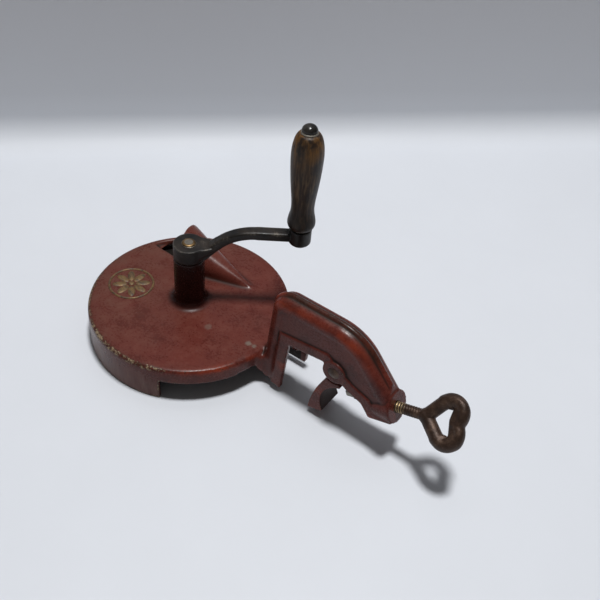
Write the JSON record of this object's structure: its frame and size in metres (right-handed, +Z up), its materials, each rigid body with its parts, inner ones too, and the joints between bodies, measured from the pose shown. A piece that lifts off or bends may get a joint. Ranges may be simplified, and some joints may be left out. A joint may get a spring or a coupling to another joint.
{
  "type": "bean slicer",
  "caption": "Hand-cranked bean slicer: a round cast housing with a slanted feed hood over a knife disc, a cranked wooden grip and a table clamp with a heart-shaped screw.",
  "frame": {"origin": "middle of the bounding box, on the ground it rests on", "axes": "+X along the clamp frame from the housing to the heart, +Z up along the crank shaft, +Y to the left seen from the housing"},
  "size_m": [0.3256, 0.16, 0.1959],
  "materials": {
    "oxide_red_paint": "aged semi-gloss oxide red paint on cast iron, chipped at the edges",
    "black_iron": "blackened iron, worn grey on its edges",
    "worn_steel": "dull worn steel",
    "knife_steel": "ground knife steel",
    "rusty_steel": "brown rusty steel with brassy glints",
    "dark_wood": "dark oiled wood, blackened at its foot"
  },
  "bodies": {
    "casting": {"housing": "oxide_red_paint", "clamp_frame": "oxide_red_paint", "jaw_pin": "rusty_steel"},
    "crank": {"drive_shaft": "worn_steel", "thrust_washer": "worn_steel", "knife_disc": "worn_steel", "knife_1": "knife_steel", "knife_2": "knife_steel", "knife_3": "knife_steel", "knife_screws": "worn_steel", "disc_washer": "worn_steel", "disc_nut": "worn_steel", "crank_arm": "black_iron", "grip_pin": "worn_steel", "grip_washer": "worn_steel", "grip_top_washer": "worn_steel", "grip_cap": "black_iron"},
    "handle": {"grip": "dark_wood"},
    "jaw": {"clamp_jaw": "oxide_red_paint"},
    "screw_tip": {"screw_point": "worn_steel"},
    "screw": {"clamp_screw": "rusty_steel"}
  },
  "joints": [
    {"name": "crank_spin", "type": "hinge", "parent": "casting", "child": "crank", "pos_m": [-0.08278, 0, 0.05], "axis": [0, 0, 1], "continuous": true},
    {"name": "grip_spin", "type": "hinge", "parent": "crank", "child": "handle", "pos_m": [-0.0165, 0.04995, 0.15], "axis": [0, 0, 1], "continuous": true},
    {"name": "jaw_swing", "type": "hinge", "parent": "casting", "child": "jaw", "pos_m": [0.06185, 0, 0.0555], "axis": [0, 1, 0], "range_deg": [0, 30]},
    {"name": "screw_slide", "type": "slide", "parent": "casting", "child": "screw_tip", "axis": [-0.9478, 0, -0.319], "range_m": [-0.019, 0.011]},
    {"name": "screw_turn", "type": "hinge", "parent": "screw_tip", "child": "screw", "pos_m": [0.10985, 0, 0.04605], "axis": [-0.9478, 0, -0.319], "range_deg": [-3420, 1980]}
  ],
  "couplings": [
    {"joint": "screw_turn", "follows": "screw_slide", "rad_per_m": 3141.6}
  ]
}
